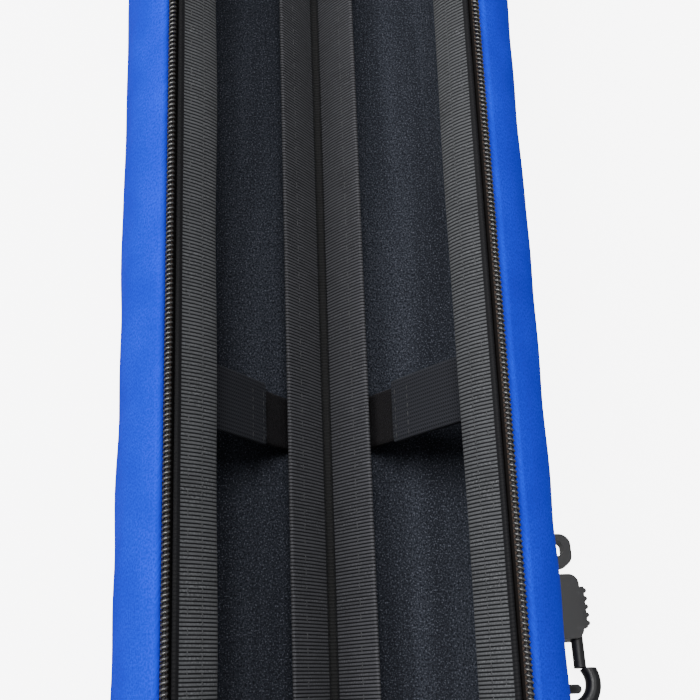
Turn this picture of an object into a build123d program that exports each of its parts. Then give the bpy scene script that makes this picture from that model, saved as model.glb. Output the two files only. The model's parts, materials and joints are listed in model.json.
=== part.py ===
"""Telescope carry case: a long zip case of two padded half tubes, open like a book.

Millimetres.  X across the case, Y along it, Z up.  The case rests on its two round
backs, and the origin is on that floor, in the middle of its overall box.
Every part of the right half is made on that half's rim plane, whose own
coordinates are s (across, from the spine), y (along) and d (up out of the shell).
The left half is the right half mirrored about the spine.
"""
import os
from math import cos, degrees, radians, sin

from build123d import *

os.makedirs("parts", exist_ok=True)

# ---- driving dimensions ----
case_length = 800.0
shell_radius = 38.0
shell_wall = 4.8
lining_thickness = 0.65
lining_gap = 0.05
rim_tilt = 57.0

corner_radius = 8.0
spine_inset = 1.0
rim_drop = 4.4

coil_diameter = 2.6
coil_inset = 0.4
coil_depth = 1.7
tape_thickness = 1.2
tape_inset = 1.8
binding_thickness = 1.1
binding_inset = 4.2
binding_width = 12.8
spine_binding_start = 2.0
spine_binding_width = 16.0

strap_stations = [-250.0, 0.0, 250.0]
strap_width = 19.0
strap_thickness = 0.8
strap_free_end = 26.0
strap_pivot_s = 58.4
strap_top = -5.1
patch_start = 9.5
patch_end = 35.0
patch_thickness = 1.3
hook_tape_length = 9.0

slider_s = 15.0
slider_length = 10.0
slider_height = 9.0
slider_depth = 5.4
pull_length = 18.0
pull_width = 6.0
pull_thickness = 1.4

ring_stations = {"near": -330.0, "far": 270.0}
ring_side_angle = -32.0
ring_wire = 2.6
ring_half_width = 7.5
ring_side = 6.0
ring_stand_off = 3.4
tab_width = 14.0
tab_length = 24.0
tab_thickness = 1.5

hook_thickness = 7.0
hook_tilt = 6.0
hook_inner_radius = 5.1
hook_outer_radius = 9.5
hook_body_start = 12.0
hook_body_end = 31.0
hook_axis_offset = -2.0
latch_travel = 5.5

# ---- frame of the right half ----
tilt = radians(rim_tilt)
half_centre_s = spine_inset + shell_radius
spine_z = shell_radius - half_centre_s * sin(tilt)
ring_apex = ring_side + ring_half_width
ring_reach = (shell_radius + ring_stand_off + ring_apex) * cos(radians(ring_side_angle))
spine_x = (shell_radius - ring_reach - hook_outer_radius) / 2
across = Vector(cos(tilt), 0, sin(tilt))
outward = Vector(-sin(tilt), 0, cos(tilt))
along = Vector(0, 1, 0)
spine = Vector(spine_x, 0, spine_z)
rim_outer = spine_inset + 2 * shell_radius
half_length = case_length / 2
mirror_plane = Plane.YZ.offset(spine_x)


def rim_point(s, y, d):
    """A point given on the right half's rim plane."""
    return spine + across * s + along * y + outward * d


def rim_plane(s=0.0, y=0.0, d=0.0):
    """The right half's rim plane: local x is s, local y is y, local z is d."""
    return Plane(origin=rim_point(s, y, d), x_dir=across, z_dir=outward)


def section_plane(y, s=0.0, d=0.0):
    """A plane across the right half: local x is s, local y is d, local z is -y."""
    return Plane(origin=rim_point(s, y, d), x_dir=across, z_dir=-along)


def save(part, name):
    """Label a finished piece and write it."""
    part.label = name
    export_step(part, f"parts/{name}.step")


def save_mirrored(part, name):
    """Write the left half's copy of a right half piece."""
    with BuildPart() as copy:
        add(part)
        mirror(about=mirror_plane, mode=Mode.REPLACE)
    save(copy.part, name)


def half_tube(radius, length, rim_depth):
    """A solid half cylinder lying in the right shell, cut off below the rim plane."""
    with BuildPart() as tube:
        with BuildSketch(section_plane(length / 2, s=half_centre_s)):
            Circle(radius)
            with Locations((0, radius - rim_depth)):
                Rectangle(3 * radius, 2 * radius, mode=Mode.SUBTRACT)
        extrude(amount=length)
    return tube.part


def rim_band(outer_inset, inner_inset, low, high, start):
    """A flat band that follows the rim round both ends, from the spine side at start."""
    with BuildPart() as band:
        with BuildSketch(rim_plane(d=low)):
            RectangleRounded(
                2 * (rim_outer - outer_inset),
                2 * (half_length - outer_inset),
                corner_radius - min(outer_inset, corner_radius - 1),
            )
            RectangleRounded(
                2 * (rim_outer - inner_inset),
                2 * (half_length - inner_inset),
                1.0,
                mode=Mode.SUBTRACT,
            )
            with Locations((start - rim_outer, 0)):
                Rectangle(2 * rim_outer, 2 * case_length, mode=Mode.SUBTRACT)
        extrude(amount=high - low)
    return band.part


# ---- shells: fabric laminated on moulded foam ----
with BuildPart() as right_shell:
    add(half_tube(shell_radius, case_length, rim_drop))
    end_arcs = right_shell.edges().filter_by(GeomType.CIRCLE)
    fillet(end_arcs, corner_radius)
    cavity = half_tube(shell_radius - shell_wall, case_length - 2 * shell_wall, 0)
    add(cavity, mode=Mode.SUBTRACT)
save(right_shell.part, "right_shell")
save_mirrored(right_shell.part, "left_shell")

# ---- linings ----
lining_outer = shell_radius - shell_wall - lining_gap
lining_inner = lining_outer - lining_thickness
lining_length = case_length - 2 * shell_wall - 2 * lining_gap
with BuildPart() as right_lining:
    add(half_tube(lining_outer, lining_length, rim_drop + lining_gap))
    add(half_tube(lining_inner, lining_length - 2 * lining_thickness, 0), mode=Mode.SUBTRACT)
save(right_lining.part, "right_lining")
save_mirrored(right_lining.part, "left_lining")

# ---- zip tapes, coils, end stops ----
tape_top = -rim_drop + tape_thickness
binding_inner_inset = binding_inset + binding_width
zip_start = 8.0
right_zip_tape = rim_band(tape_inset, binding_inner_inset - 0.6, -rim_drop, tape_top, zip_start - 4)
save(right_zip_tape, "right_zip_tape")
save_mirrored(right_zip_tape, "left_zip_tape")

coil_s = rim_outer - coil_inset
coil_y = half_length - coil_inset
with BuildPart() as right_zip_coil:
    with BuildLine(rim_plane(d=-coil_depth)) as coil_path:
        FilletPolyline(
            (zip_start, -coil_y),
            (coil_s, -coil_y),
            (coil_s, coil_y),
            (zip_start, coil_y),
            radius=corner_radius - coil_inset,
        )
    with BuildSketch(Plane(origin=rim_point(zip_start, -coil_y, -coil_depth), x_dir=along, z_dir=across)):
        Circle(coil_diameter / 2)
    sweep(path=coil_path.line)
save(right_zip_coil.part, "right_zip_coil")
save_mirrored(right_zip_coil.part, "left_zip_coil")

stop_length = 2.4
stop_gap = 0.1
with BuildPart() as right_zip_stops:
    for end in (-1, 1):
        stop_s = zip_start - stop_gap - stop_length / 2
        with BuildSketch(rim_plane(s=stop_s, y=end * coil_y, d=-coil_depth - coil_diameter / 2)):
            Rectangle(stop_length, coil_diameter)
        extrude(amount=coil_diameter)
save(right_zip_stops.part, "right_zip_stops")
save_mirrored(right_zip_stops.part, "left_zip_stops")

# ---- seam bindings ----
binding_top = tape_top + binding_thickness
right_zip_binding = rim_band(binding_inset, binding_inner_inset, tape_top, binding_top, zip_start - 4)
save(right_zip_binding, "right_zip_binding")
save_mirrored(right_zip_binding, "left_zip_binding")

binding_end_gap = 0.3
spine_binding_length = 2 * (half_length - binding_inner_inset - binding_end_gap)
with BuildPart() as right_spine_binding:
    spine_binding_mid = spine_binding_start + spine_binding_width / 2
    with BuildSketch(rim_plane(s=spine_binding_mid, d=tape_top)):
        Rectangle(spine_binding_width, spine_binding_length)
    extrude(amount=binding_thickness)
save(right_spine_binding.part, "right_spine_binding")
save_mirrored(right_spine_binding.part, "left_spine_binding")

# ---- spine hinge tape: its fold is the hinge line ----
hinge_tape_diameter = 2.0
with BuildPart() as spine_hinge_tape:
    with BuildSketch(Plane(origin=rim_point(0, half_length - 4, 0), x_dir=across, z_dir=-along)):
        Circle(hinge_tape_diameter / 2)
    extrude(amount=case_length - 8)
save(spine_hinge_tape.part, "spine_hinge_tape")

# ---- hook-and-loop holding straps ----
strap_bottom = strap_top - strap_thickness
hook_tape_bottom = strap_bottom - strap_thickness
patch_top = hook_tape_bottom - 0.1
strap_end = strap_pivot_s - 0.2
seam_start = strap_pivot_s + 0.8
seam_end = 70.0


def flat_strip(s_low, s_high, y, width, low, high):
    """A flat piece of webbing or tape parallel to the rim plane."""
    with BuildPart() as strip:
        with BuildSketch(rim_plane(s=(s_low + s_high) / 2, y=y, d=low)):
            Rectangle(s_high - s_low, width)
        extrude(amount=high - low)
    return strip.part


for number, station in enumerate(strap_stations, start=1):
    strap = flat_strip(strap_free_end, strap_end, station, strap_width, strap_bottom, strap_top)
    save(strap, f"right_strap_{number}")
    save_mirrored(strap, f"left_strap_{number}")
    tape_end = strap_free_end + hook_tape_length
    hook_tape = flat_strip(
        strap_free_end, tape_end, station, strap_width - 1, hook_tape_bottom, strap_bottom
    )
    save(hook_tape, f"right_strap_hooks_{number}")
    save_mirrored(hook_tape, f"left_strap_hooks_{number}")

with BuildPart() as right_strap_seams:
    for station in strap_stations:
        add(flat_strip(seam_start, seam_end, station, strap_width, strap_bottom, strap_top))
save(right_strap_seams.part, "right_strap_seams")
save_mirrored(right_strap_seams.part, "left_strap_seams")

with BuildPart() as right_loop_patches:
    for station in strap_stations:
        patch_low = patch_top - patch_thickness
        add(flat_strip(patch_start, patch_end, station, strap_width - 2.5, patch_low, patch_top))
save(right_loop_patches.part, "right_loop_patches")
save_mirrored(right_loop_patches.part, "left_loop_patches")

# ---- zip sliders and pulls, one at each end ----
slider_gap = 1.2
channel_half = 3.2
channel_depth = 1.4
pin_radius = 0.8
knuckle_radius = 2.0
pin_stand_off = knuckle_radius + 0.4
lug_thickness = 1.2


def slider_parts(end):
    """The slider body with its lug, and its pull tab, outside one end wall."""
    face_y = half_length + slider_gap
    outer_y = face_y + slider_depth
    with BuildPart() as body:
        with BuildSketch(rim_plane(s=slider_s, y=end * (face_y + slider_depth / 2), d=-slider_height / 2)):
            Rectangle(slider_length, slider_depth)
        extrude(amount=slider_height)
        corner_edges = body.edges().filter_by(Axis((0, 0, 0), outward))
        fillet(corner_edges, 1.2)
        with BuildSketch(rim_plane(s=slider_s, y=end * (face_y + channel_depth / 2), d=-channel_half)):
            Rectangle(slider_length + 1, channel_depth, mode=Mode.ADD)
        extrude(amount=2 * channel_half, mode=Mode.SUBTRACT)
        lug_y = outer_y + pin_stand_off
        lug_reach = pin_stand_off + lug_thickness
        for lug_d in (-3.4, 2.2):
            with BuildSketch(rim_plane(s=slider_s, y=end * (outer_y + lug_reach / 2), d=lug_d)):
                Rectangle(3.0, lug_reach)
            extrude(amount=lug_thickness)
        with BuildSketch(rim_plane(s=slider_s, y=end * lug_y, d=-3.4)):
            Circle(pin_radius)
        extrude(amount=6.8)
    with BuildPart() as pull:
        with BuildSketch(section_plane(end * lug_y, s=slider_s, d=0)):
            with Locations((-pull_length / 2 + 2.2, 0)):
                RectangleRounded(pull_length, pull_width, 1.8)
            with Locations((-pull_length + 5.2, 0)):
                Circle(1.6, mode=Mode.SUBTRACT)
        extrude(amount=pull_thickness / 2, both=True)
        with BuildSketch(rim_plane(s=slider_s, y=end * lug_y, d=-1.9)):
            Circle(knuckle_radius)
        extrude(amount=3.8)
        for side in (-1, 1):
            with BuildSketch(rim_plane(s=slider_s, y=end * lug_y, d=side * 3.2 - 1.25)):
                Rectangle(6.5, 6.0)
            extrude(amount=2.5, mode=Mode.SUBTRACT)
        with BuildSketch(rim_plane(s=slider_s, y=end * lug_y, d=-5)):
            Circle(pin_radius + 0.08)
        extrude(amount=10, mode=Mode.SUBTRACT)
    return body.part, pull.part


for end_name, end in (("near", -1), ("far", 1)):
    slider_body, slider_pull = slider_parts(end)
    save(slider_body, f"zip_slider_{end_name}")
    save(slider_pull, f"zip_pull_{end_name}")

# ---- strap rings on the right shell's outer side ----
side_angle = radians(ring_side_angle)
half_centre = rim_point(half_centre_s, 0, 0)
ring_out = Vector(cos(side_angle), 0, sin(side_angle))
ring_up = Vector(-sin(side_angle), 0, cos(side_angle))
bar_centre = half_centre + ring_out * (shell_radius + ring_stand_off)
wire_radius = ring_wire / 2


def ring_plane(y, along_ring=0.0, up=0.0):
    """A plane on a strap ring: local x up the bar, local y out of the shell."""
    point = bar_centre + along * y + ring_out * along_ring + ring_up * up
    return Plane(origin=point, x_dir=ring_up, z_dir=along)


def strap_ring(y):
    """A D-shaped wire ring: a bar, two sides and a half round."""
    with BuildPart() as ring:
        with BuildLine(ring_plane(y)) as loop:
            corner = 2.2
            bar_line = Line((0, 0), (ring_half_width - corner, 0))
            first = JernArc(start=bar_line @ 1, tangent=bar_line % 1, radius=corner, arc_size=90)
            side_line = Line(first @ 1, (ring_half_width, ring_side))
            dome = JernArc(start=side_line @ 1, tangent=side_line % 1, radius=ring_half_width, arc_size=180)
            other_side = Line(dome @ 1, (-ring_half_width, corner))
            last = JernArc(start=other_side @ 1, tangent=other_side % 1, radius=corner, arc_size=90)
            Line(last @ 1, (0, 0))
        with BuildSketch(Plane(origin=bar_centre + along * y, x_dir=along, z_dir=ring_up)):
            Circle(wire_radius)
        sweep(path=loop.line)
    return ring.part


def ring_tab(y):
    """The webbing tab sewn on the shell, with the loop that holds the ring's bar."""
    sewn_y = y - tab_length / 2 - 4
    loop_inner = wire_radius + 0.3
    loop_outer = loop_inner + tab_thickness
    skin_angle = degrees(tab_width / 2 / shell_radius)
    sheet_radius = shell_radius + 0.1
    with BuildPart() as tab:
        centre_plane = Plane(origin=half_centre + along * (sewn_y + tab_length / 2), x_dir=ring_out, z_dir=-along)
        with BuildSketch(centre_plane):
            with BuildLine():
                low = (sheet_radius * cos(radians(skin_angle)), -sheet_radius * sin(radians(skin_angle)))
                high = (low[0], -low[1])
                outer = sheet_radius + tab_thickness
                low_out = (outer * cos(radians(skin_angle)), -outer * sin(radians(skin_angle)))
                high_out = (low_out[0], -low_out[1])
                ThreePointArc(low, (sheet_radius, 0), high)
                Line(high, high_out)
                ThreePointArc(high_out, (outer, 0), low_out)
                Line(low_out, low)
            make_face()
        extrude(amount=tab_length)
        loop_half = ring_half_width - 3.0
        loop_plane = Plane(
            origin=bar_centre + along * y - ring_up * loop_half, x_dir=ring_out, z_dir=ring_up
        )
        with BuildSketch(loop_plane):
            Circle(loop_outer)
            reach = ring_stand_off - 0.1
            with Locations((-reach / 2 - 0.35, -4.2)):
                Rectangle(reach - 0.7, 7.0)
            with Locations((0, -loop_outer - 0.5)):
                Rectangle(2 * tab_thickness, 3.0)
            Circle(loop_inner, mode=Mode.SUBTRACT)
        extrude(amount=2 * loop_half)
        trim = half_tube(sheet_radius, case_length + 40, -60)
        add(trim, mode=Mode.SUBTRACT)
    return tab.part


# ---- swivel snap hooks ----
hook_lean = radians(hook_tilt)
hook_down = Vector(0, cos(hook_lean), -sin(hook_lean))
hook_normal = Vector(0, sin(hook_lean), cos(hook_lean))
wire_play = 2.0
wire_mid = hook_inner_radius - wire_radius - wire_play


def hook_plane(y, a=0.0, b=0.0, h=0.0):
    """A plane on a hook: local x points away from the case, local y to the swivel."""
    jaw = bar_centre + along * (y + wire_mid) + ring_out * ring_apex
    point = jaw + hook_down * a + Vector(1, 0, 0) * b + hook_normal * h
    return Plane(origin=point, x_dir=(1, 0, 0), z_dir=hook_normal)


def hook_axis_plane(y, a, b=hook_axis_offset, h=0.0):
    """A plane across a hook's length, facing the swivel."""
    base = hook_plane(y, a, b, h)
    return Plane(origin=base.origin, x_dir=(1, 0, 0), z_dir=hook_down)


bolt_radius = 1.8
bolt_b = 4.0
pad_start = 15.5
pad_length = 12.0
rib_count = 5
body_half_width = 6.0
nose_angle = 40.0
nose_end = 4.0
bolt_gap = 0.1
post_radius = 2.0
collar_radius = 3.2
eye_length = 10.0
eye_width = 14.0


def hook_body(y):
    """The hook's jaw, shank and housing, with the bolt's bore and the swivel's bore."""
    jaw_thickness = hook_outer_radius - hook_inner_radius
    mid_radius = (hook_inner_radius + hook_outer_radius) / 2
    with BuildPart() as body:
        with BuildLine(hook_plane(y)) as jaw_path:
            shank = Line((-mid_radius, hook_body_start + 1), (-mid_radius, 0))
            JernArc(start=shank @ 1, tangent=shank % 1, radius=mid_radius, arc_size=180 + nose_angle)
        with BuildSketch(Plane(origin=hook_plane(y, hook_body_start + 1, -mid_radius).origin,
                               x_dir=(1, 0, 0), z_dir=-hook_down)):
            RectangleRounded(jaw_thickness, jaw_thickness, 1.9)
        sweep(path=jaw_path.line)
        with BuildSketch(hook_plane(y, nose_end + 3, hook_outer_radius / 2 + 2, -hook_thickness)):
            Rectangle(hook_outer_radius, 6)
        extrude(amount=2 * hook_thickness, mode=Mode.SUBTRACT)
        housing_mid = (hook_body_start + hook_body_end) / 2
        housing_length = hook_body_end - hook_body_start
        with BuildSketch(hook_plane(y, housing_mid, hook_axis_offset, -hook_thickness / 2)):
            RectangleRounded(2 * body_half_width + 3.5, housing_length, 3.0)
        extrude(amount=hook_thickness)
        with BuildSketch(hook_axis_plane(y, hook_body_start - 1, bolt_b)):
            Circle(bolt_radius + 0.25)
        extrude(amount=pad_start + pad_length + latch_travel - hook_body_start + 1.5, mode=Mode.SUBTRACT)
        slot_length = pad_length + latch_travel + 0.8
        with BuildSketch(hook_plane(y, pad_start - 0.4 + slot_length / 2, bolt_b + 4, -1.9)):
            Rectangle(8.0, slot_length)
        extrude(amount=3.8, mode=Mode.SUBTRACT)
        with BuildSketch(hook_axis_plane(y, hook_body_end - 7)):
            Circle(post_radius + 0.15)
        extrude(amount=10, mode=Mode.SUBTRACT)
        with BuildSketch(hook_axis_plane(y, hook_body_end - 6)):
            Circle(collar_radius + 0.2)
        extrude(amount=2.6, mode=Mode.SUBTRACT)
    return body.part


def hook_latch(y):
    """The sliding bolt that closes the jaw, with its ribbed thumb pad."""
    tip_a = nose_end + bolt_gap
    pad_b = bolt_b + 1.9
    with BuildPart() as latch:
        with BuildSketch(hook_axis_plane(y, tip_a, bolt_b)):
            Circle(bolt_radius)
        extrude(amount=pad_start + pad_length - tip_a)
        with BuildSketch(hook_plane(y, pad_start + pad_length / 2, pad_b, -1.6)):
            Rectangle(3.2, pad_length)
        extrude(amount=3.2)
        pitch = pad_length / rib_count
        for rib in range(rib_count):
            rib_a = pad_start + pitch * (rib + 0.5)
            with BuildSketch(hook_plane(y, rib_a, pad_b + 1.6, -1.6)):
                Circle(0.75)
            extrude(amount=3.2)
    return latch.part


def hook_swivel(y):
    """The swivel: a collared post in the housing and a flat eye for a strap."""
    eye_thickness = 4.4
    eye_start = hook_body_end + 2.5
    with BuildPart() as swivel:
        with BuildSketch(hook_axis_plane(y, hook_body_end - 5.8)):
            Circle(collar_radius)
        extrude(amount=2.2)
        with BuildSketch(hook_axis_plane(y, hook_body_end - 5.8)):
            Circle(post_radius)
        extrude(amount=9.5)
        with BuildSketch(hook_plane(y, eye_start + eye_length / 2, hook_axis_offset, -eye_thickness / 2)):
            RectangleRounded(eye_width, eye_length, 3.5)
            with Locations((0, 0.6)):
                RectangleRounded(eye_width - 5.0, 4.6, 1.6, mode=Mode.SUBTRACT)
        extrude(amount=eye_thickness)
    return swivel.part


for end_name, station in ring_stations.items():
    save(ring_tab(station), f"ring_tab_{end_name}")
    save(strap_ring(station), f"strap_ring_{end_name}")
    save(hook_body(station), f"hook_body_{end_name}")
    save(hook_latch(station), f"hook_latch_{end_name}")
    save(hook_swivel(station), f"hook_swivel_{end_name}")

# ---- joint data, printed for the record ----
jaw_origin = hook_plane(0).origin
print("spine", round(spine_x, 3), round(spine_z, 3))
print("across", [round(v, 5) for v in across])
print("outward", [round(v, 5) for v in outward])
print("strap pivot", [round(v, 3) for v in rim_point(strap_pivot_s, 0, strap_top - 0.4)])
print("bar centre", [round(v, 3) for v in bar_centre])
print("ring up", [round(v, 5) for v in ring_up])
print("ring apex", [round(v, 3) for v in bar_centre + ring_out * ring_apex])
print("jaw", [round(v, 3) for v in jaw_origin])
print("hook axis", [round(v, 5) for v in hook_down])
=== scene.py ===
"""Looks of the telescope carry case: covers, linings, zips, ribbons, straps and hooks.

Lengths in the mesh code are millimetres on a half's rim plane: s across from the
spine, y along the case and d up out of the shell.  rim() turns them into the frame's
metres.  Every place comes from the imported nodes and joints.
"""
import json
import math
import random

import bmesh
import bpy
import numpy as np
from mathutils import Matrix, Vector


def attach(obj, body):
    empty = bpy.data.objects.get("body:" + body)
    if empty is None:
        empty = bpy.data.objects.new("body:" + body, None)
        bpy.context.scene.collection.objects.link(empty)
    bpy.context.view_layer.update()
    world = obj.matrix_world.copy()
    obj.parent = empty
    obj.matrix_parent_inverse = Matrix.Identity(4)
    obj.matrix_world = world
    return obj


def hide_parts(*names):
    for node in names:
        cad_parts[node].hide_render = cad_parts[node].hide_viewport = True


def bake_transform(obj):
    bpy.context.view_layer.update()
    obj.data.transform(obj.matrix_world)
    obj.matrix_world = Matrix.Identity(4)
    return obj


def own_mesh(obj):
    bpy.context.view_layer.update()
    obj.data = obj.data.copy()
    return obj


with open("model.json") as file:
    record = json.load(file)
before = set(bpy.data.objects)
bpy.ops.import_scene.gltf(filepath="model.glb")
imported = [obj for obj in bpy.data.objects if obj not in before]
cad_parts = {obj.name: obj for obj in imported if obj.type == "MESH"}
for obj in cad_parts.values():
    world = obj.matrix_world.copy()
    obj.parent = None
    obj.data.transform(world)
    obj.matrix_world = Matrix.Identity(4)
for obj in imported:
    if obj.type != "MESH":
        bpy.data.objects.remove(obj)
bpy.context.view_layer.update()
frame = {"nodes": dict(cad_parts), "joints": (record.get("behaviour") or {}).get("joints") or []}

MM = 0.001
SIDES = {"right": 1, "left": -1}
ENDS = ("near", "far")
STRAPS = (1, 2, 3)
ALONG = np.array([0.0, 1.0, 0.0])
BODY = {"right": "root", "left": "left_half"}
joints = {joint["name"]: joint for joint in frame["joints"]}
clamshell = joints["clamshell"]
opening = -clamshell["range_deg"][0]
tilt = math.radians((180 - opening) / 2)
spine_x, spine_z = clamshell["pos_m"][0] / MM, clamshell["pos_m"][2] / MM


# ---- places ----
def rim(side, s, y, d):
    """Points given on a half's rim plane in millimetres, as frame points in metres."""
    s, y, d = np.broadcast_arrays(np.asarray(s, float), np.asarray(y, float), np.asarray(d, float))
    x = s * math.cos(tilt) - d * math.sin(tilt)
    z = spine_z + s * math.sin(tilt) + d * math.cos(tilt)
    return np.stack([spine_x + SIDES[side] * x, y, z], axis=-1) * MM


def extent(side, node):
    """Lowest and highest s, y and d of a CAD node."""
    points = np.array([v.co for v in frame["nodes"][node].data.vertices], float) / MM
    x = (points[:, 0] - spine_x) * SIDES[side]
    z = points[:, 2] - spine_z
    s = x * math.cos(tilt) + z * math.sin(tilt)
    d = -x * math.sin(tilt) + z * math.cos(tilt)
    places = np.stack([s, points[:, 1], d], axis=-1)
    return places.min(0), places.max(0)


def outward(side):
    """The direction straight out of a half's opening."""
    return (-SIDES[side] * math.sin(tilt), 0.0, math.cos(tilt))


shell_low, shell_high = extent("right", "right_shell")
half_length = shell_high[1]
shell_radius = -shell_low[2]
rim_drop = -shell_high[2]
centre_s = (shell_low[0] + shell_high[0]) / 2
rim_outer = centre_s + shell_radius
corner_radius = 8.0
shell_wall = 4.8
lining_thickness = 0.6
lining_gap = 0.08
shell_columns = 61

binding_low, binding_high = extent("right", "right_zip_binding")
binding_inset = rim_outer - binding_high[0]
binding_base = binding_low[2]
binding_thickness = binding_high[2] - binding_low[2]
binding_width = 12.8
run_start = binding_low[0]
tape_high = extent("right", "right_zip_tape")[1]
tape_inset = rim_outer - tape_high[0]
coil_low, coil_high = extent("right", "right_zip_coil")
coil_inset = rim_outer - (coil_high[0] - (coil_high[2] - coil_low[2]) / 2)
coil_d = (coil_high[2] + coil_low[2]) / 2

rib_pitch = 1.0
rib_height = 0.16
rib_step = rib_pitch / 3
lip_lift = {"left": 3.6, "right": 1.7}
lip_crown = 0.9
spine_overhang = 1.5
end_clear = half_length - binding_inset - binding_width
inner_s = rim_outer - binding_inset - binding_width
coil_pitch = 1.34

thread_radius = 0.17
thread_stand = 0.02
# Each zip seam: its place as a share of the ribbon's width, stitch spacing, stitch length.
zip_seams = ((0.26, 4.8, 2.5), (0.58, 2.0, 1.35))
spine_seam = 0.66
groove_depth = 0.16
groove_half_width = 0.35

strap_overlap = 1.0
strap_step = 0.7
floor_glow = 6.0


# ---- mesh helpers ----
def waves(a, b, seed, count=7, low=0.01, high=0.06):
    """A smooth, seeded height field of about one unit over millimetre coordinates."""
    draw = random.Random(seed)
    total = np.zeros(np.broadcast(a, b).shape)
    for _ in range(count):
        turn, size = draw.uniform(0, math.tau), draw.uniform(low, high) * math.tau
        total = total + np.sin(a * size * math.cos(turn) + b * size * math.sin(turn) + draw.uniform(0, 6))
    return total / math.sqrt(count)


def new_object(name, points, faces, uv, material):
    """A smooth mesh object from vertices, faces and one UV per vertex, with seams merged."""
    mesh = bpy.data.meshes.new(name)
    mesh.from_pydata(points.tolist(), [], faces.tolist())
    layer = mesh.uv_layers.new(name="UVMap")
    corners = np.zeros(len(mesh.loops), np.int32)
    mesh.loops.foreach_get("vertex_index", corners)
    layer.data.foreach_set("uv", uv[corners].astype(np.float32).ravel())
    obj = bpy.data.objects.new(name, mesh)
    bpy.context.collection.objects.link(obj)
    work = bmesh.new()
    work.from_mesh(mesh)
    bmesh.ops.remove_doubles(work, verts=work.verts, dist=2e-6)
    bmesh.ops.dissolve_degenerate(work, edges=work.edges, dist=1e-7)
    bmesh.ops.recalc_face_normals(work, faces=work.faces)
    work.to_mesh(mesh)
    work.free()
    mesh.polygons.foreach_set("use_smooth", [True] * len(mesh.polygons))
    mesh.materials.append(material)
    return obj


def grid_faces(rows, columns, start=0):
    """Quads of a grid whose points are stored row by row."""
    first = start + np.arange(rows - 1)[:, None] * columns + np.arange(columns - 1)[None, :]
    return np.stack([first, first + 1, first + columns + 1, first + columns], axis=-1).reshape(-1, 4)


def patches_object(name, patches, material):
    """One mesh from several (points, uv) grids, each (rows, columns, 3 or 2)."""
    points, uvs, faces, start = [], [], [], 0
    for grid, uv in patches:
        rows, columns = grid.shape[:2]
        points.append(grid.reshape(-1, 3))
        uvs.append(np.broadcast_to(uv, (rows, columns, 2)).reshape(-1, 2))
        faces.append(grid_faces(rows, columns, start))
        start += rows * columns
    return new_object(name, np.concatenate(points), np.concatenate(faces), np.concatenate(uvs), material)


def closed_tube(grid, uv):
    """A swept loop of sections closed round and capped at both ends."""
    grid = np.concatenate([grid, grid[:, :1]], axis=1)
    uv = np.concatenate([uv, uv[:, :1]], axis=1)
    first = np.broadcast_to(grid[:1, :-1].mean(1, keepdims=True), grid[:1].shape)
    last = np.broadcast_to(grid[-1:, :-1].mean(1, keepdims=True), grid[-1:].shape)
    return np.concatenate([first, grid, last]), np.concatenate([uv[:1], uv, uv[-1:]])


def rib_wave(along):
    """Ribs from 0 to 1 along a ribbon."""
    return 0.5 + 0.5 * np.cos(along * math.tau / rib_pitch)


def sewn_groove(distance):
    """How deep a seam pulls a ribbon in, at a distance from it."""
    return groove_depth * math.exp(-(distance / groove_half_width) ** 2)


def steps(low, high, step):
    """Evenly spread values from low to high, about step apart."""
    return np.linspace(low, high, max(2, int(round((high - low) / step)) + 1))


# ---- materials ----
def nodes_of(name):
    """A new material, its node tree and its shader."""
    material = bpy.data.materials.new(name)
    material.use_nodes = True
    tree = material.node_tree
    return material, tree, tree.nodes["Principled BSDF"]


def math_node(tree, kind, a, b=None):
    """A maths node whose inputs are sockets or numbers."""
    node = tree.nodes.new("ShaderNodeMath")
    node.operation = kind
    for socket, value in zip(node.inputs, (a, b)):
        if isinstance(value, (int, float)):
            socket.default_value = value
        elif value is not None:
            tree.links.new(value, socket)
    return node.outputs[0]


def coordinates(tree, on_uv):
    """Millimetre coordinates on a piece: its UVs, or its place for a CAD node."""
    node = tree.nodes.new("ShaderNodeTexCoord")
    if on_uv:
        return node.outputs["UV"]
    scale = tree.nodes.new("ShaderNodeVectorMath")
    scale.operation = "SCALE"
    scale.inputs["Scale"].default_value = 1 / MM
    tree.links.new(node.outputs["Object"], scale.inputs[0])
    return scale.outputs[0]


def noise(tree, where, scale, detail=3.0):
    """Noise with that many features a millimetre."""
    node = tree.nodes.new("ShaderNodeTexNoise")
    node.inputs["Scale"].default_value = scale
    node.inputs["Detail"].default_value = detail
    tree.links.new(where, node.inputs["Vector"])
    return node.outputs["Fac"]


def ridge(tree, value, pitch):
    """A cosine ridge from 0 to 1 every pitch millimetres."""
    turned = math_node(tree, "MULTIPLY", value, math.tau / pitch)
    wave = math_node(tree, "COSINE", turned)
    return math_node(tree, "MULTIPLY", math_node(tree, "ADD", wave, 1.0), 0.5)


def ramp(tree, value, low, high, a, b):
    """Colour from a to b as value goes from low to high."""
    node = tree.nodes.new("ShaderNodeMapRange")
    node.inputs["From Min"].default_value = low
    node.inputs["From Max"].default_value = high
    tree.links.new(value, node.inputs["Value"])
    mix = tree.nodes.new("ShaderNodeMix")
    mix.data_type = "RGBA"
    tree.links.new(node.outputs["Result"], mix.inputs["Factor"])
    for socket, colour in ((mix.inputs["A"], a), (mix.inputs["B"], b)):
        if isinstance(colour, tuple):
            socket.default_value = (*colour, 1.0)
        else:
            tree.links.new(colour, socket)
    return mix.outputs["Result"]


def bump(tree, shader, height, distance_mm, strength=1.0):
    """Bump on a shader from a height of 0 to 1."""
    node = tree.nodes.new("ShaderNodeBump")
    node.inputs["Distance"].default_value = distance_mm * MM
    node.inputs["Strength"].default_value = strength
    tree.links.new(height, node.inputs["Height"])
    tree.links.new(node.outputs["Normal"], shader.inputs["Normal"])


def split(tree, where, first="X", second="Y"):
    """Two parts of a vector socket."""
    node = tree.nodes.new("ShaderNodeSeparateXYZ")
    tree.links.new(where, node.inputs[0])
    return node.outputs[first], node.outputs[second]


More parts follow.
